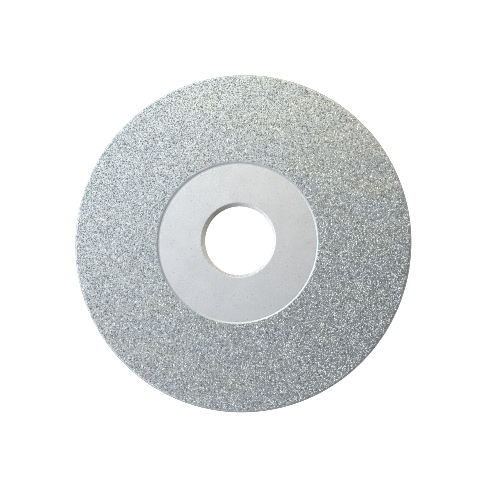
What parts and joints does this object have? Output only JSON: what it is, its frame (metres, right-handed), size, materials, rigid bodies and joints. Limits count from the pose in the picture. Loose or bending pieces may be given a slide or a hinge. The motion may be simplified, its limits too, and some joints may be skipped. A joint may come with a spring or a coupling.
{
  "type": "diamond grinding wheel",
  "caption": "Thin flat round grinding disc: a steel blank with a chamfered centre bore and a bare hub, and a ring of electroplated diamond grit on its front face.",
  "frame": {"origin": "centre of the bore on the flat back face", "axes": "+Z along the spin axis, out of the coated front face; X and Y lie in the back face and are free, as the disc is round"},
  "size_m": [0.1, 0.1, 0.0027],
  "materials": {
    "core_steel": "matte, nickel flashed",
    "plated_nickel": "satin electroplated nickel",
    "diamond": "coarse crystalline grit"
  },
  "bodies": {
    "root": {"steel_core": "core_steel", "nickel_bond": "plated_nickel", "diamond_grit": "diamond"}
  },
  "joints": []
}
